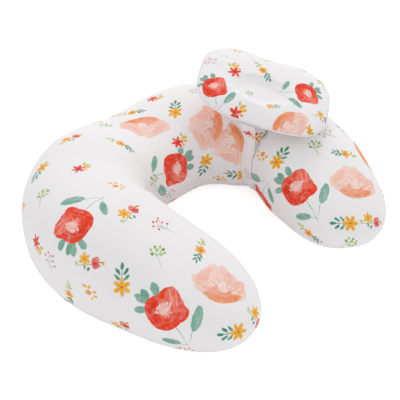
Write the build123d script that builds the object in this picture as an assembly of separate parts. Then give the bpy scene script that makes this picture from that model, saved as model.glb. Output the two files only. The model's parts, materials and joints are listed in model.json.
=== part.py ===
from build123d import *
from math import asin, cos, degrees, exp, pi, radians, sin, sqrt
import os

# Nursing pillow: a stuffed U in a printed cotton cover, with a small head pillow strapped to it.
# Millimetres, +Z up. The U opens towards -Y, X runs across its arms, and it lies on Z = 0.

# the U's centre line, from the middle of its back to each tip
back_half = 50.0        # straight half of the back
bend_radius = 165.0
bend_turn = 107.0       # degrees, so the arms lean in by 17
arm_length = 220.0      # straight arm, to the end of its rounded tip
centre_x = 4.8          # the strap pulls the right side in, so the box's middle is left of the U's
back_y = 160.1          # centre line of the back

# its cross-section
half_width = 107.0
back_height = 166.0
arm_height = 194.0
full_height_station = 150.0     # from here to the taper the section stays the same
taper_station = 330.0
taper_onset = 0.1       # how gently the taper sets in
width_taper = (0.14, 4.5)       # share lost along the arm, exponent of its rounded end
height_taper = (0.47, 4.0)
tip_drop = 46.0         # how far the section's middle sinks towards the tip
tip_drop_power = 0.9
squareness = 2.3        # exponent of the superellipse, 2 is an ellipse
settle = 6.0            # how far the stuffed tube flattens into its resting face
seam_drop = 0.5         # seam below the middle, as a share of the half height
cinch_depth = 0.11      # share of the section that the strap pulls in
cinch_spread = 45.0

cover_thickness = 1.2
liner_inset = 3.0
liner_thickness = 0.8

# the strap round the U, where the right arm begins
strap_station = 322.0   # along the centre line
strap_width = 30.0
strap_thickness = 1.5
strap_clearance = 1.0
inner_clearance = 4.4   # at the inside of the bend, where a flat strap stands off
patch_width = 26.0
patch_thickness = 0.9
rest_gap = 0.3          # between closed parts that come apart
tail_root = 50.0        # degrees round the section: 0 faces out of the U, 90 up
tail_end = -14.0
lower_end = 26.0
elastic_start = 238.0
elastic_end = 292.0

# the zipper along the seam of the left bend
zip_start = 34.0        # degrees round the bend
zip_end = 92.0
slot_half = 5.0         # half of the gap between the panels
coil_width = 2.4
coil_depth = 1.8
tape_width = 11.0
tape_thickness = 0.5
tape_inset = 1.8
stop_angle = 0.8        # degrees of bend
running_gap = 0.35
slider_angle = 37.0     # where it sits with the zipper closed

# the zipper's slider and pull
slider_length = 12.0
slider_width = 8.4
slider_wall = 1.0
bridge_length = 7.0
bridge_width = 2.0
bridge_wall = 0.9
bar_clearance = 0.1
pull_bar = 0.9          # radius
pull_length = 26.0
pull_width = 6.4
pull_window = 8.0
pull_window_width = 3.0

# the head pillow, in its own frame: X along it, Y up it, Z out of its face
head_length = 240.0
head_depth = 172.0
head_half_thickness = 22.0
head_squareness = 3.2
head_crown = 0.35       # share of the outline that its flat crown keeps
head_hollow = 9.0       # dip in the middle of its upper edge
panel_thickness = 1.0
dimple_length = 100.0
dimple_width = 62.0
dimple_sink = 9.0
dimple_x = -7.0
dimple_y = -16.0
piping_width = 3.0
piping_thickness = 2.4
head_centre = (163.4, -162.1, 224.9)    # from the middle of the back's centre line
head_heading = -10.0    # degrees from +X to the line it tilts about
head_tilt = 22.0
head_roll = -45.0       # turns it in its own plane
hinge_gap = 1.5         # from the piping to the line it turns on
tab_width = 26.0
tab_thickness = 1.2
tab_lap = (168.0, 162.0, 156.0)         # degrees round the section where it lies on the strap
tab_end_gap = 3.5
tab_lean = 28.0         # its upper end is this much further along the arm than the strap
sewn_gap = 0.15

bend_length = bend_radius * radians(bend_turn)
tip_end = back_half + bend_length + arm_length
tip_steps = (0.2, 0.3, 0.4, 0.5, 0.6, 0.68, 0.76, 0.83, 0.89, 0.935, 0.965, 0.985, 0.996)
head_levels = (-1.0, -0.96, -0.88, -0.75, -0.55, -0.3, 0.0, 0.3, 0.55, 0.75, 0.88, 0.96, 1.0)
power = 2 / squareness
seam_angle = -degrees(asin(seam_drop ** (1 / power)))


def smooth(t):
    t = min(max(t, 0.0), 1.0)
    return t * t * (3 - 2 * t)


def signed_power(value, exponent):
    return abs(value) ** exponent * (1 if value >= 0 else -1)


def spine(s):
    """Centre-line point and heading angle at signed length s from the middle of the back."""
    side = 1 if s >= 0 else -1
    turned = min(max(abs(s) - back_half, 0.0) / bend_radius, radians(bend_turn))
    ahead = min(abs(s), back_half) + bend_radius * sin(turned)
    rest = max(abs(s) - back_half - bend_length, 0.0)
    x = centre_x + side * (ahead + rest * cos(turned))
    y = back_y - bend_radius * (1 - cos(turned)) - rest * sin(turned)
    return x, y, side * turned


def section_size(s):
    """Half width, half height and centre height of the section, strap and rounded end included."""
    to_full = smooth(abs(s) / full_height_station)
    to_tip = min(max((abs(s) - taper_station) / (tip_end - taper_station), 0.0), 1.0)
    to_tip = to_tip ** 2 * (1 + taper_onset) / (to_tip + taper_onset)
    height = back_height + (arm_height - back_height) * to_full
    beside_strap = max(abs(s - strap_station) - strap_width / 2, 0.0)
    pull = 1 - cinch_depth * exp(-((beside_strap / cinch_spread) ** 2))
    width = half_width * (1 - width_taper[0] * to_tip) * sqrt(1 - to_tip ** width_taper[1])
    half_height = height / 2 * (1 - height_taper[0] * to_tip) * sqrt(1 - to_tip ** height_taper[1])
    return width * pull, half_height * pull, height / 2 - settle - tip_drop * to_tip ** tip_drop_power


def outline_point(s, angle, grow=0.0):
    """Point of the section's outline: 0 degrees faces out of the U, 90 up and 180 into the U."""
    x, y, heading = spine(s)
    across, up, centre = section_size(s)
    scale_in = min(1.0, across / (half_width / 2))      # thin layers stay thin in the rounded ends
    across = (across + grow * scale_in) * signed_power(cos(radians(angle)), power)
    up = (up + grow * scale_in) * signed_power(sin(radians(angle)), power)
    return Vector(x + sin(heading) * across, y + cos(heading) * across, centre + up)


def outline_arc(s, start, end, grow):
    steps = max(round(abs(end - start) / 8), 3)
    return Spline(*[outline_point(s, start + (end - start) * i / steps, grow) for i in range(steps + 1)])


def flat_angle(s, inset):
    """Angle below the horizontal where the outline meets its resting face."""
    across, up, centre = section_size(s)
    scale_in = min(1.0, across / (half_width / 2))
    up -= inset * scale_in
    depth = min((centre - inset) / up, 0.985)
    return degrees(asin(depth ** (1 / power)))


def slot(s):
    """Degrees that the zipper's slot takes from a panel's edge, on the outside of the left bend."""
    turned = degrees((-s - back_half) / bend_radius)
    if zip_start <= turned <= zip_end:
        return slot_half / mm_per_degree
    return 0.0


def joined(edges):
    return Face(Wire(edges))


def crescent(s, start, end, inset, thickness):
    outer = outline_arc(s, start, end, -inset)
    inner = outline_arc(s, end, start, -inset - thickness)
    return joined([outer, Line(outer @ 1, inner @ 0), inner, Line(inner @ 1, outer @ 0)])


def upper_section(s, inset, thickness):
    gap = slot(s) if inset == 0 else 0.0
    return crescent(s, seam_angle + gap, 180 - seam_angle, inset, thickness)


def lower_section(s, inset, thickness):
    """Trough from seam to seam, with its resting face flat."""
    gap = slot(s) if inset == 0 else 0.0
    rims = []
    for depth in (inset, inset + thickness):
        flat = flat_angle(s, depth)
        right = outline_arc(s, seam_angle - gap, -flat, -depth)
        left = outline_arc(s, flat - 180, -180 - seam_angle, -depth)
        rims.append([right, Line(right @ 1, left @ 0), left])
    ends = [Line(rims[0][2] @ 1, rims[1][2] @ 1), Line(rims[1][0] @ 0, rims[0][0] @ 0)]
    return joined(rims[0] + ends + rims[1])


def whole_section(s, inset):
    flat = flat_angle(s, inset)
    around = outline_arc(s, -flat, 180 + flat, -inset)
    return joined([around, Line(around @ 1, around @ 0)])


def stations():
    """Places of the sections along the centre line, closer together round the bends and at the tips."""
    half = [0.0, 25.0, back_half]
    half += [back_half + bend_length * i / 18 for i in range(1, 19)]
    half += [taper_station + (tip_end - taper_station) * t for t in tip_steps]
    both = [-d for d in reversed(half[1:])] + half
    step = 0.02
    for turned in (zip_start, zip_end):
        edge = -back_half - bend_radius * radians(turned)
        both += [edge - step, edge + step]
    return sorted(both)


def tube_layer(section, *sizes):
    return loft([section(s, *sizes) for s in stations()], ruled=True)


def zip_strip(low, high, inner, outer, start, end):
    """Strip along the zipper: low to high in mm up the section from its seam, inner to outer off the cover."""
    s = -full_height_station - 50      # any station where the section stays the same
    x, y, heading = spine(s)
    rims = []
    for depth in (outer, inner):
        points = []
        for i in range(4):
            angle = seam_angle + (low + (high - low) * i / 3) / mm_per_degree
            p = outline_point(s, angle, depth)
            out = (p.X - x) * sin(heading) + (p.Y - y) * cos(heading)
            points.append((bend_radius + out, 0, p.Z))
        rims.append(Spline(*points))
    ends = [Line(rims[0] @ 1, rims[1] @ 1), Line(rims[0] @ 0, rims[1] @ 0)]
    band = revolve(joined(rims + ends), Axis.Z, end - start)
    return Pos(centre_x - back_half, back_y - bend_radius, 0) * (Rot(0, 0, 90 + start) * band)


def zip_place(angle):
    """Plane on the seam at an angle of the bend: X along the zipper, Z off the cover."""
    s = -back_half - bend_radius * radians(angle)
    here = outline_point(s, seam_angle)
    up = (outline_point(s, seam_angle + 1) - here).normalized()
    heading = spine(s)[2]
    along = Vector(-cos(heading), sin(heading), 0)
    return Plane(here, x_dir=along, z_dir=along.cross(up))


def strap_clear(angle):
    return strap_clearance + (inner_clearance - strap_clearance) * (1 - cos(radians(angle))) / 2


def strap_piece(start, end, inner, outer, width):
    """Length of strap on the section's outline, start to end in degrees, inner to outer off the cover."""
    heading = spine(strap_station)[2]
    along = Vector(cos(heading), -sin(heading), 0)
    steps = max(round(abs(end - start) / 5), 4)
    angles = [start + (end - start) * i / steps for i in range(steps + 1)]
    near = Spline(*[outline_point(strap_station, a, strap_clear(a) + inner) for a in angles])
    far = Spline(*[outline_point(strap_station, a, strap_clear(a) + outer) for a in angles])
    face = joined([near, Line(near @ 1, far @ 1), far, Line(far @ 0, near @ 0)])
    return extrude(face, amount=width / 2, dir=along, both=True)


def head_outline(spread, widen=0.0):
    """Outline of the head pillow with its upper edge dipped: spread is 1 at its seam."""
    points = []
    for i in range(32):
        a = 2 * pi * i / 32
        x = head_length / 2 * signed_power(cos(a), 2 / head_squareness)
        y = head_depth / 2 * signed_power(sin(a), 2 / head_squareness)
        dip = head_hollow * exp(-((x / 45) ** 2)) if y > 0 else 0.0
        x *= spread * (1 + 2 * widen / head_length)
        points.append((x, (y - dip) * spread * (1 + 2 * widen / head_depth)))
    return make_face(Spline(*points, periodic=True))


def head_body(inset):
    """The stuffed head pillow, pulled in by inset all round, with the dimple in its face."""
    thickness = head_half_thickness - inset
    sections = []
    for t in head_levels:
        spread = head_crown + (1 - head_crown) * sqrt(1 - t ** 2)
        sections.append(Pos(0, 0, t * thickness) * head_outline(spread, -inset))
    half = dimple_length / 2
    ball = (half ** 2 + dimple_sink ** 2) / (2 * dimple_sink)
    dish = scale(Sphere(ball + inset), by=(1, dimple_width / dimple_length, 1))
    return loft(sections, ruled=True) - Pos(dimple_x, dimple_y, head_half_thickness - dimple_sink + ball) * dish


def head_place():
    """Where the head pillow lies: its back leans on the U, over the strap."""
    side = Vector(cos(radians(head_heading)), sin(radians(head_heading)), 0)
    up = Vector(-side.Y, side.X, 0) * cos(radians(head_tilt)) + Vector(0, 0, sin(radians(head_tilt)))
    along = side * cos(radians(head_roll)) + up * sin(radians(head_roll))
    across = up * cos(radians(head_roll)) - side * sin(radians(head_roll))
    x, y, z = head_centre
    return Plane((centre_x + x, back_y + y, z), x_dir=along, z_dir=along.cross(across))


def head_tab(place):
    """Cloth tab that lies on the strap inside the U and rises to the head pillow's lower edge."""
    heading = spine(strap_station)[2]
    along = Vector(cos(heading), -sin(heading), 0)
    lap = [outline_point(strap_station, a, strap_clear(a) + strap_thickness + sewn_gap) for a in tab_lap]
    hinge = place.origin - place.y_dir * (head_depth / 2 + piping_width + hinge_gap)
    to_lean = (lap[0] - hinge).dot(along) + tab_lean
    hinge += place.x_dir * (to_lean / place.x_dir.dot(along))
    lap.append(hinge - (hinge - lap[-1]).normalized() * tab_end_gap)
    sections = []
    for i, point in enumerate(lap):
        rise = lap[min(i + 1, len(lap) - 1)] - lap[max(i - 1, 0)]
        side = place.x_dir if point is lap[-1] else along
        outward = rise.cross(side).normalized() * (-tab_thickness)
        left = point - side * (tab_width / 2)
        right = point + side * (tab_width / 2)
        sections.append(make_face(Polyline(left, right, right + outward, left + outward, close=True)))
    return loft(sections, ruled=True)


def half_of(body, side):
    """The half of a head pillow's layer in front of its seam (side 1) or behind it (-1)."""
    return body & Pos(0, 0, side * 50) * Box(2 * head_length, 2 * head_depth, 100)


os.makedirs("parts", exist_ok=True)
mm_per_degree = (outline_point(-200, seam_angle + 1) - outline_point(-200, seam_angle)).length
nodes = {}

# the stuffed U in its layers
nodes["cover_top_panel"] = tube_layer(upper_section, 0.0, cover_thickness)
nodes["cover_bottom_panel"] = tube_layer(lower_section, 0.0, cover_thickness)
nodes["liner_top"] = tube_layer(upper_section, liner_inset, liner_thickness)
nodes["liner_bottom"] = tube_layer(lower_section, liner_inset, liner_thickness)
nodes["fibre_fill"] = tube_layer(whole_section, liner_inset + liner_thickness + rest_gap)

# the zipper, with its tapes behind the panels' edges and its coils between them
tape_start = zip_start + 0.3
tape_stop = zip_end - 0.3
coil_start = tape_start + stop_angle
coil_stop = tape_stop - stop_angle
tape_outer = -tape_inset
tape_inner = -tape_inset - tape_thickness
coil_outer = tape_inner + coil_depth
for name, side in (("upper", 1), ("lower", -1)):
    low, high = sorted((side * coil_width, side * tape_width))
    nodes[f"zipper_tape_{name}"] = zip_strip(low, high, tape_inner, tape_outer, tape_start, tape_stop)
    low, high = sorted((0.0, side * coil_width))
    nodes[f"zipper_coil_{name}"] = zip_strip(low, high, tape_inner, coil_outer, coil_start, coil_stop)
nodes["zipper_top_stop"] = zip_strip(-coil_width, coil_width, tape_inner, coil_outer, tape_start, coil_start)
nodes["zipper_bottom_stop"] = zip_strip(-coil_width, coil_width, tape_inner, coil_outer, coil_stop, tape_stop)

# the slider straddles the coils, and the pull's end bar turns under its bridge
roof = coil_outer + running_gap
skirt_foot = tape_outer + running_gap
deck = roof + slider_wall
bar_height = deck + bar_clearance + pull_bar
slider = Pos(0, 0, roof + slider_wall / 2) * Box(slider_length, slider_width, slider_wall)
slider = fillet(slider.edges().filter_by(Axis.Z), 2.0)
for side in (-1, 1):
    skirt = Box(slider_length - 4.5, slider_wall, roof - skirt_foot)
    slider += Pos(0, side * (slider_width - slider_wall) / 2, (roof + skirt_foot) / 2) * skirt
bridge_top = bar_height + pull_bar + bar_clearance + bridge_wall
bridge = Pos(0, 0, (deck + bridge_top) / 2) * Box(bridge_length, bridge_width, bridge_top - deck)
bridge -= Pos(0, 0, (deck + bridge_top - bridge_wall) / 2) * Box(
    bridge_length - 2 * bridge_wall, bridge_width, bridge_top - bridge_wall - deck
)
nodes["zipper_slider"] = zip_place(slider_angle) * (slider + bridge)

pull = Pos(pull_length / 2, 0, 0) * Box(pull_length, pull_width, 1.5 * pull_bar)
pull = fillet(pull.edges().filter_by(Axis.Z).sort_by(Axis.X)[-2:], pull_width * 0.45)
pull -= Pos(pull_window / 2, 0, 0) * Box(pull_window, pull_window_width, 3 * pull_bar)
pull += Rot(90, 0, 0) * Cylinder(pull_bar, pull_width)
nodes["zipper_pull"] = zip_place(slider_angle) * (Pos(0, 0, bar_height) * pull)

# the strap's upper length, its elastic, and its lower length with the loop patch
nodes["strap_upper"] = strap_piece(tail_root, elastic_start, 0.0, strap_thickness, strap_width)
nodes["strap_elastic"] = strap_piece(elastic_start, elastic_end, 0.0, strap_thickness, strap_width - 2)
nodes["strap_lower"] = strap_piece(elastic_end, 360 + lower_end, 0.0, strap_thickness, strap_width)
loop_foot = strap_thickness + sewn_gap
loop_top = loop_foot + patch_thickness
hook_top = loop_top + rest_gap + patch_thickness
nodes["strap_loop_patch"] = strap_piece(tail_end - 6, lower_end - 2, loop_foot, loop_top, patch_width)
nodes["strap_hook_patch"] = strap_piece(tail_end + 2, lower_end - 8, loop_top + rest_gap, hook_top, patch_width)
tail_foot = hook_top + sewn_gap
nodes["strap_tail"] = strap_piece(tail_end, tail_root - 1, tail_foot, tail_foot + strap_thickness, strap_width)

# the head pillow
place = head_place()
outside = head_body(0.0)
stuffing = head_body(panel_thickness)
casing = outside - stuffing
nodes["head_front_panel"] = place * half_of(casing, 1)
nodes["head_back_panel"] = place * half_of(casing, -1)
nodes["head_fill"] = place * stuffing
piping = extrude(head_outline(1.0, piping_width) - head_outline(1.0), piping_thickness / 2, both=True)
nodes["head_piping"] = place * piping
nodes["head_tab"] = head_tab(place)

for name, part in nodes.items():
    export_step(part, f"parts/{name}.step")
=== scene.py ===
import json
import math
import bmesh
import bpy
import numpy as np
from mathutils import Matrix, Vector


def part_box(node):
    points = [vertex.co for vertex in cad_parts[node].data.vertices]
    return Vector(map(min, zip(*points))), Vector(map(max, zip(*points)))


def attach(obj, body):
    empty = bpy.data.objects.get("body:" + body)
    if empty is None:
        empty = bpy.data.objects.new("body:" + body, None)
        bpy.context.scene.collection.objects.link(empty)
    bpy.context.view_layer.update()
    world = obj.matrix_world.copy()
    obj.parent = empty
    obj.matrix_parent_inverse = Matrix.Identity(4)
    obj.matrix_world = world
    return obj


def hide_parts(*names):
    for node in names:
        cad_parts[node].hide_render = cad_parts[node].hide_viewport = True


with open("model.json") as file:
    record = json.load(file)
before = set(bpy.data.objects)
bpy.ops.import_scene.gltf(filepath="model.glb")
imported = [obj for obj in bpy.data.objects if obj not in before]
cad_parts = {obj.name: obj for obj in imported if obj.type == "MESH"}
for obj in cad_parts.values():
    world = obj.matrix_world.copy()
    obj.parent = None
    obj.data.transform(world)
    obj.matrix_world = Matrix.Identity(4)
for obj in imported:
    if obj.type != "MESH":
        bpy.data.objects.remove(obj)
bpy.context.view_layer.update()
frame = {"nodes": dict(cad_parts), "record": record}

# lengths in metres; the U lies on z = 0, opens towards -y, and the camera looks at its left side
pillow = {
    "backHalf": 0.050, "bendRadius": 0.165, "bendTurn": math.radians(107), "armLength": 0.220,
    "halfWidth": 0.107, "backHeight": 0.166, "armHeight": 0.194, "fullHeightAt": 0.150, "taperAt": 0.330,
    "onset": 0.1, "widthTaper": (0.14, 4.5), "heightTaper": (0.47, 4.0), "tipDrop": 0.046, "dropPower": 0.9,
    "squareness": 2.3, "settle": 0.006, "floorSoft": 0.0025, "cinch": 0.11, "cinchSpread": 0.045,
    "seam": -27, "innerSeam": 198,
}
strap = {"at": 0.322, "width": 0.030, "thickness": 0.0015, "clear": 0.0008, "innerClear": 0.0028}
view = {
    "azimuth": -45, "elevation": 35.8, "distance": 1.369, "target": (0.0048, 0.020, 0.075),
    "lens": 68.6, "sensor": 36, "shift": (0.0226, -0.0209),
}

pillow["bendLength"] = pillow["bendRadius"] * pillow["bendTurn"]
reach = pillow["backHalf"] + pillow["bendLength"] + pillow["armLength"]
pillow["power"] = 2 / pillow["squareness"]
azimuth, elevation = math.radians(view["azimuth"]), math.radians(view["elevation"])
viewRight = np.array((math.cos(azimuth), math.sin(azimuth), 0))
viewAhead = np.array((
    -math.sin(azimuth) * math.cos(elevation), math.cos(azimuth) * math.cos(elevation), -math.sin(elevation),
))


def smooth(t):
    t = np.clip(t, 0, 1)
    return t * t * (3 - 2 * t)


def signedPower(value, exponent):
    return np.sign(value) * np.abs(value) ** exponent


def spine(s):
    turned = np.clip((np.abs(s) - pillow["backHalf"]) / pillow["bendRadius"], 0, pillow["bendTurn"])
    ahead = np.minimum(np.abs(s), pillow["backHalf"]) + pillow["bendRadius"] * np.sin(turned)
    rest = np.maximum(np.abs(s) - pillow["backHalf"] - pillow["bendLength"], 0)
    side = np.where(s >= 0, 1.0, -1.0)
    x = side * (ahead + rest * np.cos(turned))
    y = -pillow["bendRadius"] * (1 - np.cos(turned)) - rest * np.sin(turned)
    return x, y, side * turned


def sectionSize(s):
    toFull = smooth(np.abs(s) / pillow["fullHeightAt"])
    toTip = np.clip((np.abs(s) - pillow["taperAt"]) / (reach - pillow["taperAt"]), 0, 1)
    toTip = toTip ** 2 * (1 + pillow["onset"]) / (toTip + pillow["onset"])
    height = pillow["backHeight"] + (pillow["armHeight"] - pillow["backHeight"]) * toFull
    beside = np.maximum(np.abs(s - strap["at"]) - strap["width"] / 2, 0)
    pull = 1 - pillow["cinch"] * np.exp(-((beside / pillow["cinchSpread"]) ** 2))
    width = pillow["halfWidth"] * (1 - pillow["widthTaper"][0] * toTip)
    width = width * np.sqrt(1 - toTip ** pillow["widthTaper"][1])
    halfHeight = height / 2 * (1 - pillow["heightTaper"][0] * toTip)
    halfHeight = halfHeight * np.sqrt(1 - toTip ** pillow["heightTaper"][1])
    drop = pillow["tipDrop"] * toTip ** pillow["dropPower"]
    return width * pull, halfHeight * pull, height / 2 - pillow["settle"] - drop


# the section is a superellipse, cut off softly by the floor: angle 0 faces out of the U and 90 up
def outline(s, angle, grow=0.0):
    x, y, heading = spine(s)
    across, up, centre = sectionSize(s)
    thin = np.minimum(1, across / (pillow["halfWidth"] / 2))
    a = np.radians(angle)
    out = (across + grow * thin) * signedPower(np.cos(a), pillow["power"])
    z = centre + (up + grow * thin) * signedPower(np.sin(a), pillow["power"])
    floor = np.maximum(-grow, 0.0)
    soft = pillow["floorSoft"]
    depth = (z - floor) / soft
    z = floor + soft * np.logaddexp(0, depth) - soft * np.log(2) * np.exp(-np.abs(depth))
    x = place[0] + x + np.sin(heading) * out
    y = place[1] + y + np.cos(heading) * out
    return np.stack((x, y, np.maximum(z, floor)), -1)


place = (0.0, 0.0)
low = outline(np.linspace(-reach, reach, 801)[:, None], np.array((0.0, 180.0))[None, :])
coverLow, coverHigh = (np.array(corner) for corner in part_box("cover_top_panel"))
place = (coverLow[0] - low[..., 0].min(), coverHigh[1] - low[..., 1].max())


def hexColor(text):
    channels = [int(text[i:i + 2], 16) / 255 for i in (1, 3, 5)]
    return [c / 12.92 if c <= 0.04045 else ((c + 0.055) / 1.055) ** 2.4 for c in channels] + [1.0]


def addNode(tree, kind, inputs=None, **settings):
    node = tree.nodes.new(kind)
    for name, value in settings.items():
        setattr(node, name, value)
    for name, value in (inputs or {}).items():
        if isinstance(value, bpy.types.NodeSocket):
            tree.links.new(value, node.inputs[name])
        else:
            node.inputs[name].default_value = value
    return node


def meshPiece(name, points, faces, materials):
    mesh = bpy.data.meshes.new(name)
    mesh.vertices.add(len(points))
    mesh.vertices.foreach_set("co", np.asarray(points, np.float32).ravel())
    sizes = np.array([len(f) for f in faces])
    loops = np.concatenate([np.asarray(f) for f in faces])
    mesh.loops.add(len(loops))
    mesh.loops.foreach_set("vertex_index", loops.astype(np.int32))
    mesh.polygons.add(len(sizes))
    mesh.polygons.foreach_set("loop_start", np.concatenate(([0], np.cumsum(sizes)[:-1])).astype(np.int32))
    mesh.update(calc_edges=True)
    mesh.polygons.foreach_set("use_smooth", np.ones(len(sizes), bool))
    # an inside-out shell is turned, so that faces point outward
    shell = bmesh.new()
    shell.from_mesh(mesh)
    if shell.calc_volume(signed=True) < 0:
        mesh.flip_normals()
    shell.free()
    for material in materials:
        mesh.materials.append(material)
    piece = bpy.data.objects.new(name, mesh)
    bpy.context.scene.collection.objects.link(piece)
    return piece


# a grid of points, closed round its second direction and brought to one point at both ends
def closedTube(grid):
    rows, columns, _ = grid.shape
    ring = np.arange(columns)
    after = (ring + 1) % columns
    start = (np.arange(rows - 1) * columns)[:, None]
    quads = np.stack((start + ring, start + after, start + columns + after, start + columns + ring), -1)
    quads = quads.reshape(-1, 4)
    points = grid.reshape(-1, 3)
    poles = np.array((grid[0].mean(0), grid[-1].mean(0)))
    first, last = len(points), len(points) + 1
    caps = [(first, int(b), int(a)) for a, b in zip(ring, after)]
    end = (rows - 1) * columns
    caps += [(last, int(a), int(b)) for a, b in zip(end + ring, end + after)]
    return np.concatenate((points, poles)), [tuple(q) for q in quads.tolist()] + caps


def gridNormals(grid):
    along = np.gradient(grid, axis=0)
    around = np.roll(grid, -1, 1) - np.roll(grid, 1, 1)
    normals = np.cross(around, along)
    length = np.linalg.norm(normals, axis=-1, keepdims=True)
    return normals / np.maximum(length, 1e-12)


# the print: each motif is a list of brush marks in mm (x, y, half length, half width, turn, colour, strength)
red, coral, blush = "#F5451F", "#F66C4C", "#F9C6BC"
peach, apricot, rose = "#FACDBD", "#F6925A", "#F7AE9A"
teal, deepTeal, stemGreen = "#86B5A2", "#3F9074", "#6FA391"
yellow, orange, rust = "#F7B92F", "#F0921F", "#C4501C"
lime, leafGreen, berry = "#B4C866", "#6AA446", "#E34A3C"


def ringOf(count, radius, length, width, colour, strength=1.0, start=0, centre=(0, 0), sweep=360):
    marks = []
    for i in range(count):
        turn = start + sweep * i / count
        x = centre[0] + radius * math.cos(math.radians(turn))
        y = centre[1] + radius * math.sin(math.radians(turn))
        marks.append((round(x, 1), round(y, 1), length, width, turn, colour, strength))
    return marks


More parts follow.
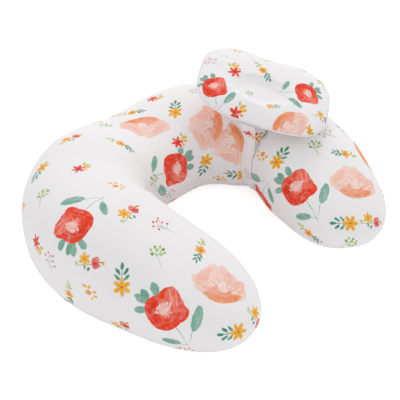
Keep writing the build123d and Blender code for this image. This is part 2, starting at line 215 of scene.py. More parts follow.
motifs = {
    "peony": [
        (1, -38, 15, 0.6, 92, stemGreen, 0.9), (-1, -60, 10, 0.5, 86, stemGreen, 0.9),
        (14, -50, 17, 0.5, 48, stemGreen, 0.8), (-8, -58, 8, 0.5, 140, stemGreen, 0.8),
        (33, -34, 19, 7.5, 42, teal, 1), (34, -36, 16, 2.4, 42, "#A9CEBF", 0.5),
        (40, -26, 9, 3.5, 50, teal, 1), (-20, -47, 15, 6, -36, teal, 1),
        (-22, -46, 11, 2.2, -36, "#5F9F86", 0.5), (-19, 31, 13, 6, 128, teal, 1),
        (-13, 35, 9, 5, 100, "#75AB96", 1), (3, 34, 10, 6, 84, "#7FB09C", 1),
        (-31, 19, 10, 5.5, 156, teal, 1), (-24, 28, 8, 1.4, 130, "#5F9F86", 0.5), (0, 0, 29, 26, 0, red, 1),
        (-12, -7, 20, 17, 100, red, 1), (12, 9, 20, 17, 60, red, 1), (-9, 13, 18, 14, 20, red, 1),
        (11, -12, 19, 14, -20, red, 1), (-2, -16, 20, 13, 5, red, 1), (18, 7, 20, 9, 72, coral, 0.85),
        (24, -6, 13, 5, 84, "#F0593F", 0.8), (16, 9, 17, 2.2, 76, blush, 0.35),
        (23, 7, 14, 1.6, 66, blush, 0.4), (12, 18, 10, 1.6, 50, "#F9A79A", 0.35),
        (-19, -4, 20, 8, 106, "#E93416", 0.9), (-24, -2, 14, 0.9, 100, coral, 0.6),
        (-14, -9, 14, 0.8, 116, coral, 0.5), (0, -19, 20, 7, 2, "#EC3B1C", 0.9),
        (3, -22, 16, 1.0, 6, coral, 0.6), (-5, -16, 14, 0.8, -8, coral, 0.6),
        (7, -15, 12, 0.8, 18, "#F58B78", 0.5), (-9, 17, 13, 4, 28, "#DD2F12", 0.7),
        (-3, 21, 12, 1.0, 14, coral, 0.6), (0, 1, 14, 12, 10, "#F2604A", 0.85),
        (1, 3, 10, 9, 0, "#F59484", 0.7), (-8, 6, 9, 3, 62, "#DB3317", 0.6),
        (0, 2, 9, 8, 0, "#F7A598", 0.75),
    ] + ringOf(7, 8, 7.0, 1.1, "#FBD5CD", 0.85, 30, (0, -4), 140)
    + ringOf(6, 14.5, 2.2, 1.7, "#FCE6E1", 0.85, 36, (0, -4), 130)
    + ringOf(4, 5, 5.0, 1.3, "#F9C4BA", 0.7, 195, (0, -2), 170)
    + [(-5, 9, 4, 1.0, 130, "#FCE6E1", 0.8), (6, 1, 5, 0.9, 20, "#FCE6E1", 0.7)],
    "peach": [
        (0, -4, 36, 18, 0, peach, 0.5), (-28, -2, 20, 12, -28, peach, 0.8),
        (-33, 8, 15, 8, 14, "#FBD6C9", 0.8), (30, -3, 17, 13, 24, peach, 0.8),
        (34, 8, 13, 9, 54, "#F9BBA9", 0.75), (-12, 20, 19, 11, 74, "#FBD3C6", 0.85),
        (9, 21, 18, 11, 108, peach, 0.85), (-23, 16, 17, 9, 44, "#F9BFAD", 0.75),
        (23, 15, 16, 9, 128, "#F9C0AF", 0.75), (0, -13, 21, 13, 0, rose, 0.8),
        (12, -15, 20, 8, 10, "#F58A45", 0.85), (-11, -18, 16, 6, -16, "#F79C69", 0.8),
        (26, -12, 12, 5, 30, "#F68F52", 0.7), (4, -5, 15, 11, 0, "#F8AE93", 0.85),
        (5, 1, 10, 10, 0, "#FBDDD2", 0.95), (-1, 9, 10, 1.6, 118, "#F2906E", 0.45),
        (13, 7, 10, 1.4, 64, "#F2906E", 0.4), (-7, 2, 11, 1.4, 140, apricot, 0.4),
        (18, -4, 11, 1.6, 34, apricot, 0.5), (6, -9, 9, 1.4, 6, "#F08A5E", 0.5),
        (-26, -4, 15, 1.4, -26, rose, 0.7), (-14, 16, 14, 1.2, 70, "#FCE9E1", 0.8),
        (29, 1, 12, 1.2, 36, "#FCE9E1", 0.8), (8, 22, 13, 1.1, 106, rose, 0.6),
        (-33, 6, 11, 1.0, 10, "#F8B39D", 0.6), (1, 3, 3.5, 1.2, 60, "#FFFFFF", 0.7),
        (8, 2, 3.5, 1.0, 100, "#FFFFFF", 0.7),
    ],
    "sprigFlower": [
        (0, 6, 14, 0.6, 90, deepTeal, 1), (0, 20, 6, 2.6, 90, deepTeal, 1),
        (-6, 13, 6, 2.4, 125, deepTeal, 1), (6, 13, 6, 2.4, 55, deepTeal, 1),
        (-7, 4, 6, 2.4, 135, "#58A48A", 1), (7, 4, 6, 2.4, 45, "#58A48A", 1),
    ] + ringOf(6, 8, 6.5, 3.6, yellow, 1, 90, (0, -10))
    + ringOf(6, 7, 4.5, 1.0, orange, 0.7, 90, (0, -10)) + [
        (0, -10, 3.0, 2.6, 0, orange, 1), (0, -10, 1.6, 1.4, 0, rust, 1),
    ],
    "budFlower": [
        (-12, 0, 10, 0.5, 175, leafGreen, 0.9), (-20, 2, 4, 2, 140, lime, 1),
        (-15, 4, 3.6, 1.8, 100, lime, 1), (-14, -4, 3.6, 1.8, 240, lime, 1),
        (-24, -1, 3.4, 1.8, 190, lime, 1), (12, -1, 11, 0.5, -6, deepTeal, 1),
        (12, 3, 4.6, 1.9, 40, deepTeal, 1), (18, 2, 4.6, 1.9, 35, deepTeal, 1),
        (14, -5, 4.6, 1.9, -50, deepTeal, 1), (21, -5, 4.6, 1.9, -40, "#58A48A", 1),
        (25, -1, 4.2, 1.7, -5, deepTeal, 1),
    ] + ringOf(5, 5, 4.6, 3.0, yellow, 1, 20)
    + ringOf(5, 4, 3.2, 1.2, orange, 0.9, 56) + [(0, 0, 2.6, 2.4, 0, "#E4662B", 1)],
    "dots": [
        (-2, -1, 5.5, 4.5, 20, orange, 0.95), (-11, 6, 4, 2.8, 10, yellow, 1),
        (-3, 9, 3.4, 2.6, 80, yellow, 1), (7, 6, 3.2, 2.4, 40, yellow, 1),
        (11, -1, 3.4, 2.3, 10, yellow, 1), (7, -8, 3.2, 2.2, 110, "#F8C748", 1),
        (-2, -1, 3, 2.4, 0, "#F6AE32", 0.8),
    ],
    "star": [
        (8, 9, 6, 3, 50, yellow, 1), (12, 3, 5.5, 2.6, 10, yellow, 1), (4, 15, 4.4, 2.4, 80, lime, 1),
        (13, 10, 4.6, 2.2, 30, lime, 0.9), (9, -4, 4, 1.8, -30, orange, 0.9),
    ] + ringOf(6, 6, 6.5, 2.7, "#EC4530", 1, 80, (-3, -2))
    + [(-3, -2, 3.4, 3, 0, "#D6361F", 1), (-3, -2, 1.4, 1.2, 0, rust, 1)],
    "posy": [
        (-2, -14, 13, 0.5, 60, leafGreen, 1), (5, 1, 9, 0.6, 55, leafGreen, 1),
        (-9, -19, 4, 1.6, 30, lime, 1), (3, -10, 4, 1.8, -20, leafGreen, 1),
        (12, 9, 4.4, 2.6, 60, "#E2574A", 1), (5, 9, 6.5, 6, 0, "#EF6B62", 0.95),
        (10, 6, 5.5, 5, 0, "#E9504A", 0.9), (3, 13, 4.5, 3.2, 30, "#F08A84", 0.9),
        (8, 8, 2, 1.8, 0, "#C93832", 1), (13, 18, 3.6, 2.4, 20, yellow, 1),
        (10, 15, 3.4, 1.4, 60, leafGreen, 1), (9, -6, 3.6, 1.8, -60, deepTeal, 1),
    ] + ringOf(6, 5.5, 5.0, 2.6, yellow, 1, 30, (-7, -4)) + [(-7, -4, 2.2, 2, 0, orange, 1)],
    "berries": [
        (3, -8, 13, 0.4, 105, stemGreen, 1), (-4, 5, 9, 0.4, 130, stemGreen, 1),
        (5, 8, 9, 0.4, 60, stemGreen, 1), (-1, 3, 12, 0.4, 95, stemGreen, 1),
        (7, -4, 6, 0.4, 30, stemGreen, 1),
    ] + [(x, y, 2.2, 1.9, 30, berry, 1) for x, y in (
        (-10, 11), (-3, 16), (3, 13), (10, 15), (13, -1), (-8, 2), (9, 6),
    )],
    "buds": [
        (2, -9, 12, 0.6, 110, lime, 1), (-3, 5, 8, 0.6, 95, leafGreen, 1), (3, 5, 9, 0.5, 60, leafGreen, 1),
        (-7, 3, 6, 0.5, 140, leafGreen, 1),
    ] + [(x, y, 3.0, 2.1, turn, colour, 1) for x, y, turn, colour in (
        (-11, 8, 120, lime), (-5, 13, 95, leafGreen), (-1, 9, 80, lime), (3, 15, 85, lime),
        (8, 12, 50, leafGreen),
        (10, 6, 30, lime), (-9, 1, 170, leafGreen), (5, 2, 20, lime))],
}
motifReach = {
    "peony": 74, "peach": 54, "sprigFlower": 30, "budFlower": 31, "dots": 18, "star": 22, "posy": 27,
    "berries": 25, "buds": 24,
}


def clothMaterial(name, marks=(), colour="#F5F3F4"):
    material = bpy.data.materials.new(name)
    material.use_nodes = True
    tree = material.node_tree
    shader = tree.nodes["Principled BSDF"]
    objectCoords = addNode(tree, "ShaderNodeTexCoord").outputs["Object"]
    painted = addNode(tree, "ShaderNodeRGB").outputs[0]
    painted.default_value = hexColor(colour)
    if marks:
        flat = addNode(tree, "ShaderNodeUVMap", uv_map="motif").outputs[0]
        waver = addNode(tree, "ShaderNodeTexNoise", {"Vector": objectCoords, "Scale": 260, "Detail": 2})
        centred = addNode(tree, "ShaderNodeVectorMath", {
            0: waver.outputs["Color"], 1: (0.5, 0.5, 0.5),
        }, operation="SUBTRACT").outputs[0]
        wobble = addNode(
            tree, "ShaderNodeVectorMath", {0: centred, "Scale": 3.2}, operation="SCALE",
        ).outputs[0]
        spot = addNode(tree, "ShaderNodeVectorMath", {0: flat, 1: wobble}, operation="ADD").outputs[0]
        level = addNode(
            tree, "ShaderNodeVectorMath", {0: spot, 1: (1, 1, 0)}, operation="MULTIPLY",
        ).outputs[0]
        for x, y, length, width, turn, tint, strength in marks:
            around = addNode(tree, "ShaderNodeMapping", {
                "Vector": level, "Location": (x, y, 0),
                "Rotation": (0, 0, math.radians(turn)), "Scale": (length, width, 1),
            }, vector_type="TEXTURE").outputs[0]
            away = addNode(tree, "ShaderNodeVectorMath", {0: around}, operation="LENGTH").outputs["Value"]
            edge = min(0.9 / width, 0.5)
            cover = addNode(tree, "ShaderNodeMapRange", {
                "Value": away, "From Min": 1 + edge * 0.4, "From Max": 1 - edge * 0.6,
                "To Min": 0, "To Max": strength,
            }, interpolation_type="SMOOTHSTEP").outputs[0]
            painted = addNode(
                tree, "ShaderNodeMix", {0: cover, 6: painted, 7: hexColor(tint)}, data_type="RGBA",
            ).outputs[2]
        # the wash is thinner where the noise is high, so the paper white comes through
        blot = addNode(tree, "ShaderNodeTexNoise", {"Vector": objectCoords, "Scale": 120, "Detail": 4})
        thin = addNode(tree, "ShaderNodeMapRange", {
            "Value": blot.outputs[0], "From Min": 0.48, "From Max": 0.85, "To Max": 0.34,
        }).outputs[0]
        painted = addNode(
            tree, "ShaderNodeMix", {0: thin, 6: painted, 7: hexColor(colour)}, data_type="RGBA",
        ).outputs[2]
    threads = addNode(tree, "ShaderNodeUVMap", uv_map="fabric").outputs[0]
    thread = {"Vector": threads, "Scale": 0.5, "Distortion": 0.6}
    warp = addNode(tree, "ShaderNodeTexWave", thread, bands_direction="X").outputs["Fac"]
    weft = addNode(tree, "ShaderNodeTexWave", thread, bands_direction="Y").outputs["Fac"]
    weave = addNode(tree, "ShaderNodeMath", {0: warp, 1: weft}, operation="ADD").outputs[0]
    crinkle = addNode(tree, "ShaderNodeTexNoise", {
        "Vector": objectCoords, "Scale": 38, "Detail": 3, "Roughness": 0.55,
    }).outputs[0]
    fine = addNode(tree, "ShaderNodeBump", {"Height": weave, "Distance": 0.00008, "Strength": 0.5}).outputs[0]
    coarse = addNode(tree, "ShaderNodeBump", {
        "Height": crinkle, "Distance": 0.0016, "Strength": 0.5, "Normal": fine,
    }).outputs[0]
    tree.links.new(painted, shader.inputs["Base Color"])
    tree.links.new(coarse, shader.inputs["Normal"])
    shader.inputs["Roughness"].default_value = 0.86
    shader.inputs["Sheen Weight"].default_value = 0.12
    shader.inputs["Specular IOR Level"].default_value = 0.25
    return material


kinds = list(motifs)
printed = [clothMaterial("whiteCottonPlainWeave")]
printed += [clothMaterial("printedCotton" + k.capitalize(), motifs[k]) for k in kinds]


# gives each face near a motif its printed material, with coordinates in mm from the motif's middle
def printOn(piece, fabric, motifPlaces):
    mesh = piece.data
    count = len(mesh.polygons)
    points = np.empty(len(mesh.vertices) * 3, np.float32)
    mesh.vertices.foreach_get("co", points)
    points = points.reshape(-1, 3)
    centres, normals = np.empty(count * 3, np.float32), np.empty(count * 3, np.float32)
    mesh.polygons.foreach_get("center", centres)
    mesh.polygons.foreach_get("normal", normals)
    centres, normals = centres.reshape(-1, 3), normals.reshape(-1, 3)
    starts, totals = np.empty(count, np.int32), np.empty(count, np.int32)
    mesh.polygons.foreach_get("loop_start", starts)
    mesh.polygons.foreach_get("loop_total", totals)
    corners = np.empty(len(mesh.loops), np.int32)
    mesh.loops.foreach_get("vertex_index", corners)
    owner = np.repeat(np.arange(count), totals)
    nearest, chosen = np.full(count, 1.0), np.full(count, -1)
    for i, (kind, middle, normal, _, _, size) in enumerate(motifPlaces):
        apart = np.linalg.norm(centres - middle, axis=1) * 1000 / (motifReach[kind] * size)
        closer = (apart < nearest) & (normals @ normal > -0.1)
        nearest[closer], chosen[closer] = apart[closer], i
    slots = np.zeros(count, np.int32)
    local = np.full((len(corners), 2), 500.0)
    for i, (kind, middle, normal, right, up, size) in enumerate(motifPlaces):
        slots[chosen == i] = 1 + kinds.index(kind)
        mine = chosen[owner] == i
        offset = (points[corners[mine]] - middle) * 1000 / size
        flat = np.stack((offset @ right, offset @ up), -1)
        stretch = np.linalg.norm(offset, axis=1) / np.maximum(np.linalg.norm(flat, axis=1), 1e-6)
        local[mine] = flat * np.minimum(stretch, 1.5)[:, None]
    mesh.polygons.foreach_set("material_index", slots)
    for name, values in (("motif", local), ("fabric", fabric[corners])):
        layer = mesh.uv_layers.new(name=name)
        layer.data.foreach_set("uv", np.asarray(values, np.float32).ravel())


# where a motif sits: turn is clockwise from upright as the camera sees it
def motifPlace(kind, middle, normal, turn, size=1.0):
    right = viewRight - normal * (viewRight @ normal)
    right /= np.linalg.norm(right)
    up = np.cross(normal, right)
    c, s = math.cos(math.radians(turn)), math.sin(math.radians(turn))
    return kind, middle, normal, right * c - up * s, up * c + right * s, size


def onPillow(kind, s, angle, turn, grow=0.0):
    step = 0.001
    s = s / 1000
    middle = outline(np.array(s), np.array(angle), grow)
    ahead = outline(np.array(s + step), np.array(angle), grow) - middle
    over = outline(np.array(s), np.array(angle + 1.0), grow) - middle
    normal = np.cross(over, ahead)
    return motifPlace(kind, middle, normal / np.linalg.norm(normal), turn)


def seamDistance(grid, columns, seam):
    lengths = np.linalg.norm(np.roll(grid, -1, 1) - grid, axis=-1)
    along = np.concatenate((np.zeros((len(grid), 1)), np.cumsum(lengths, 1)[:, :-1]), 1)
    total = lengths.sum(1)[:, None]
    index = int(np.argmin(np.abs((columns - seam + 180) % 360 - 180)))
    away = along - along[:, index][:, None]
    return (away + total / 2) % total - total / 2, along


# the stuffed tube: inset 0 is the cover, with its seams, puckers, zipper groove and the folds at the strap
def tube(name, rows, columnCount, inset, materials):
    body = np.linspace(-0.34, 0.34, rows)
    tip = 0.34 + (reach - 0.34) * np.sin(np.linspace(0, math.pi / 2, rows * 11 // 20)[1:-1])
    s = np.concatenate((-tip[::-1], body, tip, [reach - 0.00002]))
    s = np.concatenate(([0.00002 - reach], s))
    columns = (pillow["seam"] + 360 * np.arange(columnCount) / columnCount) % 360
    grid = outline(s[:, None], columns[None, :], -inset)
    normals = gridNormals(grid)
    outer, along = seamDistance(grid, columns, pillow["seam"])
    inner, _ = seamDistance(grid, columns, pillow["innerSeam"])
    sm, a = s[:, None] * 1000, np.radians(columns)[None, :]
    lumps = 0.9 * np.sin(sm / 47 + 2 * np.sin(a + 1)) * np.cos(2 * a + sm / 130)
    lumps = lumps + 0.6 * np.sin(sm / 23 + 3 * np.cos(a))
    wobble = np.sin(sm / 19) + 0.7 * np.sin(sm / 7.3 + 1)
    bulge = lumps
    atStrap = (sm - strap["at"] * 1000)
    for away in (outer * 1000, inner * 1000):
        bulge = bulge - 2.2 * np.exp(-((away / 2.6) ** 2)) - 0.8 * np.exp(-((away / 11) ** 2))
        bulge = bulge + 0.55 * np.sin(sm / 2.6 + wobble) * np.exp(-((away / 12) ** 2))
    beside = np.exp(-((np.maximum(np.abs(atStrap) - 14, 0) / 26) ** 2))
    puffed = np.exp(-(((np.abs(atStrap) - 34) / 15) ** 2))
    bulge = bulge + puffed * 2.6 - beside * 1.2
    folds = np.sin(15 * a + 1.6 * np.sin(sm / 17)) + 0.6 * np.sin(26 * a + sm / 11)
    bulge = bulge + 1.5 * folds * np.exp(-(((np.abs(atStrap) - 20) / 17) ** 2))
    bend = smooth((np.abs(sm) - 40) / 60) * smooth((380 - np.abs(sm)) / 60)
    inside = np.exp(-(((columns[None, :] - 190) / 34) ** 2))
    upper = np.clip(np.cos(a - 1.1), 0, 1) ** 0.6
    bulge = bulge - upper * (8.5 * np.exp(-(((sm - 165) / 70) ** 2)) + 4 * np.exp(-(((sm + 170) / 70) ** 2)))
    bulge = bulge + 1.2 * inside * bend * np.sin(sm / 5.2 + 2.2 * np.sin(3 * a) + wobble)
    bulge = bulge * smooth((reach * 1000 + 10 - np.abs(sm)) / 40)
    if inset == 0:
        turned = np.degrees((-s - pillow["backHalf"]) / pillow["bendRadius"])
        zipped = ((turned > 34.2) & (turned < 91.8))[:, None]
        bulge = np.where(zipped & (np.abs(outer) < 0.02), 0.0, bulge)
        bulge = np.where(zipped & (np.abs(outer) < 0.0052), -3.3, bulge)
    bulge = np.maximum(bulge, -9.5)
    floorward = smooth((grid[..., 2] - 0.002) / 0.02)
    grid = grid + normals * (bulge * floorward)[..., None] / 1000
    grid[..., 2] = np.maximum(grid[..., 2], inset * 0.9)
    points, faces = closedTube(grid)
    piece = meshPiece(name, points, faces, materials)
    fabric = np.stack((np.broadcast_to(sm, along.shape), along * 1000), -1).reshape(-1, 2)
    fabric = np.concatenate((fabric, [[0, 0], [0, 0]]))
    return piece, fabric


print("cover")
onU = [
    ("peony", -470, 28, -31), ("peony", 470, 141, -31), ("peony", -315, 56, 214), ("peony", 0, 163, 84),
    ("peach", 5, 96, 180), ("peach", -520, 84, 0), ("peach", 510, 84, 0), ("peach", 140, 141, -80),
    ("peach", 235, 160, -110), ("sprigFlower", -400, 34, 0), ("sprigFlower", -560, 28, -90),
    ("sprigFlower", 555, 124, -90), ("sprigFlower", 410, 135, 40), ("sprigFlower", 95, 180, 200),
    ("sprigFlower", 75, 101, 0), ("sprigFlower", -190, 51, 215), ("sprigFlower", 266, 197, -90),
    ("budFlower", -95, 112, 10), ("budFlower", -470, 101, 100), ("budFlower", 455, 73, 170),
    ("dots", -295, 107, 0), ("dots", -355, 6, 20), ("dots", 375, 152, 180), ("star", -215, 90, 0),
    ("star", 30, 135, 0), ("star", -280, 17, 90), ("posy", -360, 90, 0), ("posy", -350, 34, 60),
    ("posy", -125, 73, 20), ("posy", -575, 96, 100), ("posy", 565, 73, 60), ("posy", -400, 343, 0),
    ("berries", -305, 11, 0), ("berries", -410, 96, -60), ("berries", 410, 79, -60),
    ("berries", 135, 90, -20), ("buds", -245, 51, 20), ("buds", -430, 73, 0), ("buds", -70, 169, -10),
    ("buds", -57, 79, 40), ("buds", 430, 96, 0), ("buds", 570, 191, 60), ("star", 70, 73, 40),
    ("budFlower", 20, 73, 0), ("dots", -50, 60, 0), ("budFlower", -330, 354, 90),
    ("budFlower", 520, 186, 20), ("peach", 440, 30, 60), ("buds", 395, 50, 0), ("star", 585, 260, 0),
    ("dots", 183, 208, 0), ("berries", -20, 190, 0), ("peony", -395, 200, 40), ("peach", -250, 215, 20),
    ("peony", 392, 206, 150),
]
places = [onPillow(*entry) for entry in onU]
# the rest of the cloth, out of the camera's view, carries the same repeat
cycle = [
    "peony", "berries", "sprigFlower", "peach", "star", "buds", "posy", "dots", "budFlower", "peach",
    "buds", "sprigFlower",
]
turn = 0
for row, angle in enumerate((-70, 250, -30, 215, 20, 50, 180, 150)):
    for s in range(-560 + 31 * (row % 3), 580, 62):
        kind = cycle[turn % len(cycle)]
        turn += 1
        candidate = onPillow(kind, s, angle, turn * 47 % 360)
        gaps = [
            np.linalg.norm(candidate[1] - p[1]) * 1000 - 0.8 * (motifReach[kind] + motifReach[p[0]])
            for p in places
        ]
        if min(gaps) > 0:
            places.append(candidate)
print("motifs", len(places))

cover, fabric = tube("coverPrintedCotton", 204, 216, 0.0, printed)
printOn(cover, fabric, places)
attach(cover, "pillow")
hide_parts("cover_top_panel", "cover_bottom_panel")


def plainMaterial(name, colour, roughness, grain, depth, coat=0.0):
    material = bpy.data.materials.new(name)
    material.use_nodes = True
    tree = material.node_tree
    shader = tree.nodes["Principled BSDF"]
    coords = addNode(tree, "ShaderNodeTexCoord").outputs["Object"]
    noise = addNode(tree, "ShaderNodeTexNoise", {"Vector": coords, "Scale": grain, "Detail": 4}).outputs[0]
    tint = addNode(tree, "ShaderNodeMapRange", {"Value": noise, "To Min": 0.94, "To Max": 1.0}).outputs[0]
    shade = addNode(
        tree, "ShaderNodeMix", {0: 1.0, 6: hexColor(colour), 7: tint},
        data_type="RGBA", blend_type="MULTIPLY",
    ).outputs[2]
    bump = addNode(tree, "ShaderNodeBump", {"Height": noise, "Distance": depth, "Strength": 0.6}).outputs[0]
    tree.links.new(shade, shader.inputs["Base Color"])
    tree.links.new(bump, shader.inputs["Normal"])
    shader.inputs["Roughness"].default_value = roughness
    shader.inputs["Coat Weight"].default_value = coat
    return material


print("liner and fill")
linerCloth = plainMaterial("linerSpunbondPolypropylene", "#F0EFEC", 0.9, 600, 0.0002)
fibre = plainMaterial("fibreLoosePolyester", "#F6F6F4", 0.95, 260, 0.0012)
liner, _ = tube("linerSpunbond", 110, 120, 0.0045, [linerCloth])
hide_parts("liner_top", "liner_bottom")
filling, _ = tube("fibreFill", 90, 100, 0.0062, [fibre])
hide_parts("fibre_fill")
for piece in (liner, filling):
    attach(piece, "pillow")


# a band of cloth round the tube: angles from start to end, off the cover by low to low + thickness, in mm
def band(name, start, end, low, thickness, width, materials, waves=0.5):
    long, wide = max(int(abs(end - start) * 1.2), 12), 14
    angle = np.linspace(start, end, long)[:, None]
    acrossWidth = np.linspace(-1, 1, wide)[None, :]
    rim = np.sqrt(np.clip(1 - np.abs(acrossWidth) ** 8, 0, 1))
    creases = waves * np.sin(np.radians(angle) * 31 + 1.5 * acrossWidth)
    creases = creases + 0.5 * waves * np.sin(np.radians(angle) * 53 - 2 * acrossWidth)
    stitch = -0.35 * np.exp(-((np.abs(acrossWidth) - 0.86) / 0.05) ** 2)
    clear = strap["clear"] + (strap["innerClear"] - strap["clear"]) * (1 - np.cos(np.radians(angle))) / 2
    s = np.full((long, wide), strap["at"])
    turned = np.broadcast_to(angle, s.shape)
    middle = outline(s, turned, 0)
    above = outline(s, turned, 0.001)
    normals = (above - middle) / np.linalg.norm(above - middle, axis=-1, keepdims=True)
    heading = spine(np.array(strap["at"]))[2]
    ahead = np.array((math.cos(heading), -math.sin(heading), 0))
    base = middle + ahead * (acrossWidth * width / 2000)[..., None]
    upper = low + thickness * (0.55 + 0.45 * rim) + (creases + stitch) * rim
    lower = low + thickness * 0.45 * (1 - rim)
    top = base + normals * (clear + upper / 1000)[..., None]
    under = base + normals * (clear + lower / 1000)[..., None]
    ring = np.concatenate((top, under[:, ::-1]), 1)
    points, faces = closedTube(ring)
    piece = meshPiece(name, points, faces, materials)
    flat = np.broadcast_to(np.concatenate((acrossWidth, acrossWidth[:, ::-1]), 1) * width / 2, ring.shape[:2])
    length = np.broadcast_to(angle * 1.7, ring.shape[:2])
    fabric = np.concatenate((np.stack((flat, length), -1).reshape(-1, 2), [[0, 0], [0, 0]]))
    return piece, fabric


print("strap")
elastic = plainMaterial("elasticKnittedPolyester", "#EFEDEC", 0.8, 900, 0.0004)
hooks = plainMaterial("hookAndLoopNylon", "#F0EFED", 0.95, 1400, 0.0005)
tapeWeave = plainMaterial("zipperTapeWovenPolyester", "#EDEBEA", 0.85, 1200, 0.0002)
coilNylon = plainMaterial("zipperCoilNylon", "#EDECE9", 0.5, 1500, 0.0003)
lacquer = plainMaterial("zipperZincWhiteLacquer", "#E6E5E2", 0.35, 300, 0.00002, coat=0.4)
bands = [
    ("strapUpperCotton", 50, 238, 0, 1.5, 30, printed, "strap_upper", "pillow", "printed_cotton", 0.45),
    ("strapElastic", 238, 292, 0, 1.5, 28, [elastic], "strap_elastic", "pillow", "elastic_webbing", 0.1),
    ("strapLowerCotton", 292, 386, 0, 1.5, 30, printed, "strap_lower", "pillow", "printed_cotton", 0.1),
    ("strapLoopPatch", -20, 24, 1.5, 0.9, 26, [hooks], "strap_loop_patch", "pillow", "hook_and_loop", 0.0),
    ("strapHookPatch", -12, 18, 2.7, 0.9, 26, [hooks], "strap_hook_patch", "tail", "hook_and_loop", 0.0),
    ("strapTailCotton", -14, 49, 3.6, 1.5, 30, printed, "strap_tail", "tail", "printed_cotton", 0.1),
]
onStrap = [
    ("star", 322, 145, 60), ("berries", 330, 172, 100), ("sprigFlower", 322, 112, 0), ("buds", 322, 80, 30),
    ("posy", 322, 225, 0), ("budFlower", 322, 320, 90), ("dots", 322, 360, 0), ("star", 322, 30, 0),
    ("buds", 322, 5, 90),
]
strapPlaces = [onPillow(*entry, grow=0.004) for entry in onStrap]
for name, start, end, low, thickness, width, materials, node, body, slot, waves in bands:
    piece, fabric = band(name, start, end, low, thickness, width, materials, waves)
    printOn(piece, fabric, strapPlaces if materials is printed else [])
    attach(piece, body)
    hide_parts(node)


# the head pillow, in its own frame: x along it, y up it, z out of its face
print("head pillow")
headJoint = next(j for j in frame["record"]["behaviour"]["joints"] if j["name"] == "head_flip")
headAlong = np.array(headJoint["axis"]) / np.linalg.norm(headJoint["axis"])
headFace = np.array((-0.065, -0.369, 0.927))
headFace = headFace - headAlong * (headFace @ headAlong)
headFace /= np.linalg.norm(headFace)
headUp = np.cross(headFace, headAlong)
head = {
    "length": 0.240, "depth": 0.172, "half": 0.022, "power": 2 / 3.2, "crown": 0.35,
    "hollow": 0.009, "edge": 0.0905,
}
headCentre = np.array(headJoint["pos_m"]) + headUp * head["edge"]


def headPoint(x, y, z):
    x, y, z = np.broadcast_arrays(x, y, z)
    return headCentre + x[..., None] * headAlong + y[..., None] * headUp + z[..., None] * headFace


def headEdge(around, widen=0.0):
    x = (head["length"] / 2 + widen) * signedPower(np.cos(around), head["power"])
    y = (head["depth"] / 2 + widen) * signedPower(np.sin(around), head["power"])
    return x, y - np.where(y > 0, head["hollow"] * np.exp(-((x / 0.045) ** 2)), 0)


def headShell(name, inset, rings, materials):
    around = np.linspace(0, 2 * math.pi, 260, endpoint=False)[None, :]
    rho = np.sin(np.linspace(0.02, math.pi / 2, rings))[:, None]
    x, y = headEdge(around, -inset)
    half = head["half"] - inset
    slope = np.clip((rho - head["crown"]) / (1 - head["crown"]), 0, 1)
    height = half * (1 - slope ** 2.3) ** 0.55
    pucker = 0.0006 * np.sin(around * 46 + 2 * np.sin(around * 3)) * np.exp(-(((1 - rho) / 0.09) ** 2))
    pucker = pucker + 0.0005 * np.sin(around * 17 + 1) * np.exp(-(((rho - 0.75) / 0.2) ** 2))
    px, py = x * rho, y * rho
    oval = np.sqrt(((px + 0.008) / 0.048) ** 2 + ((py + 0.021) / 0.029) ** 2)
    dimple = 0.0098 * (1 - smooth((oval - 0.55) / 0.75)) + 0.0012 * np.exp(-(((oval - 1.02) / 0.09) ** 2))
    seamLine = 0.0008 * np.exp(-(((1 - rho) / 0.012) ** 2))
    front = headPoint(px, py, height + pucker - dimple + 0.0004 * np.sin(px * 90 + py * 70) - seamLine)
    back = headPoint(px, py, -height - pucker + seamLine)
    grid = np.concatenate((front, back[::-1][1:]), 0)
    points, faces = closedTube(grid)
    flat = np.stack((px, py), -1) * 1000
    fabric = np.concatenate((flat, flat[::-1][1:] + 300), 0).reshape(-1, 2)
    fabric = np.concatenate((fabric, [[0, 0], [0, 0]]))
    return meshPiece(name, points, faces, materials), fabric


onHead = [
    ("peony", -90, -44, -8, 0.74), ("peony", 72, 5, 85, 0.76), ("peach", 52, -74, 145, 0.85),
    ("star", -62, 5, -50, 1), ("star", -40, -80, 0, 1), ("budFlower", -13, 26, 55, 0.9),
    ("buds", -27, -34, 20, 0.8), ("sprigFlower", 18, -48, 80, 0.6), ("berries", -106, 16, -40, 0.8),
    ("dots", -68, 62, 0, 0.8), ("berries", -14, 64, 90, 0.7), ("dots", 58, 70, 0, 0.8),
    ("posy", 110, -30, 60, 0.8), ("buds", 100, 48, 0, 0.8), ("sprigFlower", 96, -70, 120, 0.7),
]
headPlaces = []
for kind, x, y, turn, size in onHead:
    edge = max(abs(x) / 120, abs(y) / 86)
    height = head["half"] * math.sqrt(1 - min(edge, 0.98) ** 4)
    middle = headPoint(*(np.array(v) for v in (x / 1000, y / 1000, height)))
    headPlaces.append(motifPlace(kind, middle, headFace, turn, size))
    middle = headPoint(*(np.array(v) for v in (-x / 1000, -y / 1000, -height)))
    headPlaces.append(motifPlace(kind, middle, -headFace, turn + 70, size))
headCover, fabric = headShell("headPillowPrintedCotton", 0.0, 60, printed)
printOn(headCover, fabric, headPlaces)
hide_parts("head_front_panel", "head_back_panel")
headFilling, _ = headShell("headPillowFibre", 0.0025, 30, [fibre])
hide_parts("head_fill")

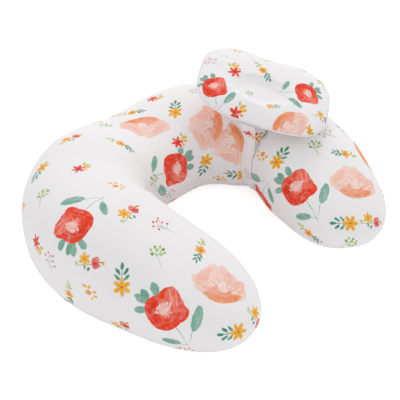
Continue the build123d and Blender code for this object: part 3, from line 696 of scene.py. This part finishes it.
biasTape = plainMaterial("pipingBiasCutCotton", "#F1EFEF", 0.88, 700, 0.0003)
around = np.linspace(0, 2 * math.pi, 300, endpoint=False)[:, None]
bead = np.linspace(0, 2 * math.pi, 10, endpoint=False)[None, :]
x, y = headEdge(around, 0.0008)
wander = 0.0004 * np.sin(around * 9)
beadX = x + 0.0014 * np.cos(bead) * np.sign(x)
beadY = y + 0.0014 * np.cos(bead) * np.sign(y) * np.abs(np.sin(around))
ring = headPoint(beadX, beadY, 0.0013 * np.sin(bead) + wander)
rows, columns = ring.shape[:2]
i, j = np.arange(rows)[:, None], np.arange(columns)[None, :]
nextRow, nextColumn = (i + 1) % rows * columns, (j + 1) % columns
quads = np.stack((i * columns + j, nextRow + j, nextRow + nextColumn, i * columns + nextColumn), -1)
piping = meshPiece("headPillowPiping", ring.reshape(-1, 3), quads.reshape(-1, 4), [biasTape])
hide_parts("head_piping")
for piece in (headCover, headFilling, piping):
    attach(piece, "head_pillow")

for nodes, material in (
    (("zipper_tape_upper", "zipper_tape_lower"), tapeWeave),
    (("zipper_coil_upper", "zipper_coil_lower"), coilNylon),
    (("zipper_top_stop", "zipper_bottom_stop", "zipper_slider", "zipper_pull"), lacquer),
):
    for node in nodes:
        piece = frame["nodes"][node]
        piece.data.materials.clear()
        piece.data.materials.append(material)

# the tab leaves the strap inside the U and rises to the line that the head pillow turns on
print("tab")
tabAngles = np.linspace(222, 164, 40)[:, None]
wide = np.linspace(-1, 1, 14)[None, :]
heading = spine(np.array(strap["at"]))[2]
ahead = np.array((math.cos(heading), -math.sin(heading), 0))
s = np.full((1, 14), strap["at"]) + tabAngles * 0
clear = strap["clear"] + (strap["innerClear"] - strap["clear"]) * (1 - np.cos(np.radians(tabAngles))) / 2
lap = outline(s, tabAngles + wide * 0, clear + 0.0026)
foot = outline(np.array(strap["at"]), np.array(164.0), 0.0045)
hinge = np.array(headJoint["pos_m"])
hinge = hinge + headAlong * ((foot - hinge) @ ahead + 0.028) / (headAlong @ ahead)
top = hinge - (hinge - foot) / np.linalg.norm(hinge - foot) * 0.0035
rise = np.linspace(0, 1, 36)[1:, None, None]
tangent = lap[-1] - lap[-3]
tangent = tangent / np.linalg.norm(tangent, axis=-1, keepdims=True) * 0.026
path = (1 - rise) ** 2 * lap[-1][None] + 2 * rise * (1 - rise) * (lap[-1] + tangent)[None]
path = path + rise ** 2 * top[None, None]
front = np.concatenate((lap, path), 0)
inward = np.cross(np.gradient(front, axis=0), ahead)
inward = -inward / np.linalg.norm(inward, axis=-1, keepdims=True)
length = np.linspace(0, 1, len(front))[:, None]
fold = 0.0006 * np.sin(wide * 5 + length * 4) * smooth((length - 0.3) / 0.3)
turned = smooth((length - 0.6) / 0.4)[..., None]
widthways = ahead * (1 - turned) + headAlong * turned
widthways = widthways / np.linalg.norm(widthways, axis=-1, keepdims=True)
front = front + widthways * (wide * 0.0145 * (1 - 0.1 * length))[..., None]
rim = np.sqrt(np.clip(1 - np.abs(wide) ** 8, 0, 1)) * 0.0006
outside = front + inward * (fold + rim)[..., None]
reverse = front + inward * (fold - rim)[..., None]
tabRing = np.concatenate((outside, reverse[:, ::-1]), 1)
points, faces = closedTube(tabRing)
tab = meshPiece("headTabCotton", points, faces, printed)
flat = np.concatenate((wide, wide[:, ::-1]), 1)
fabric = np.stack(np.broadcast_arrays(flat * 14, length * 90), -1).reshape(-1, 2)
fabric = np.concatenate((fabric, [[0, 0], [0, 0]]))
onTab = [("star", -12, 60, 0.9), ("berries", 22, 20, 0.8)]
printOn(tab, fabric, [
    motifPlace(kind, front[row, 7], inward[row, 7], turn, size) for kind, row, turn, size in onTab
])
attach(tab, "pillow")
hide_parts("head_tab")

print("studio")
floorMaterial = plainMaterial("studioFloorMattePaper", "#FFFFFF", 0.95, 20, 0.00001)
floorShader = floorMaterial.node_tree.nodes["Principled BSDF"]
floorShader.inputs["Emission Color"].default_value = (1, 1, 1, 1)
seen = addNode(floorMaterial.node_tree, "ShaderNodeLightPath").outputs["Is Camera Ray"]
glow = addNode(floorMaterial.node_tree, "ShaderNodeMapRange", {
    "Value": seen, "To Min": 0.08, "To Max": 0.6,
}).outputs[0]
floorMaterial.node_tree.links.new(glow, floorShader.inputs["Emission Strength"])
floorHalf = 9
corners = [(floorHalf * x, floorHalf * y, 0) for x, y in ((-1, -1), (1, -1), (1, 1), (-1, 1))]
floor = meshPiece("floor", corners, [(0, 1, 2, 3)], [floorMaterial])
world = bpy.context.scene.world or bpy.data.worlds.new("World")
bpy.context.scene.world = world
world.use_nodes = True
background = world.node_tree.nodes["Background"]
background.inputs["Color"].default_value = (1, 1, 1, 1)
background.inputs["Strength"].default_value = 0.80


def areaLight(name, location, size, power):
    light = bpy.data.lights.new(name, "AREA")
    light.shape = "DISK"
    light.size = size
    light.energy = power
    lamp = bpy.data.objects.new(name, light)
    lamp.location = location
    lamp.rotation_euler = (Vector(view["target"]) - Vector(location)).to_track_quat("-Z", "Y").to_euler()
    bpy.context.scene.collection.objects.link(lamp)


areaLight("keyFromTheBackRight", (1.5, 0.9, 2.0), 1.4, 16)

camera = bpy.data.cameras.new("camera")
camera.lens = view["lens"]
camera.sensor_width = view["sensor"]
camera.shift_x, camera.shift_y = view["shift"]
cameraObject = bpy.data.objects.new("camera", camera)
cameraObject.location = Vector(view["target"]) - Vector(viewAhead) * view["distance"]
cameraObject.rotation_euler = Vector(viewAhead).to_track_quat("-Z", "Y").to_euler()
bpy.context.scene.collection.objects.link(cameraObject)
bpy.context.scene.camera = cameraObject
bpy.context.scene.view_settings.view_transform = "Standard"
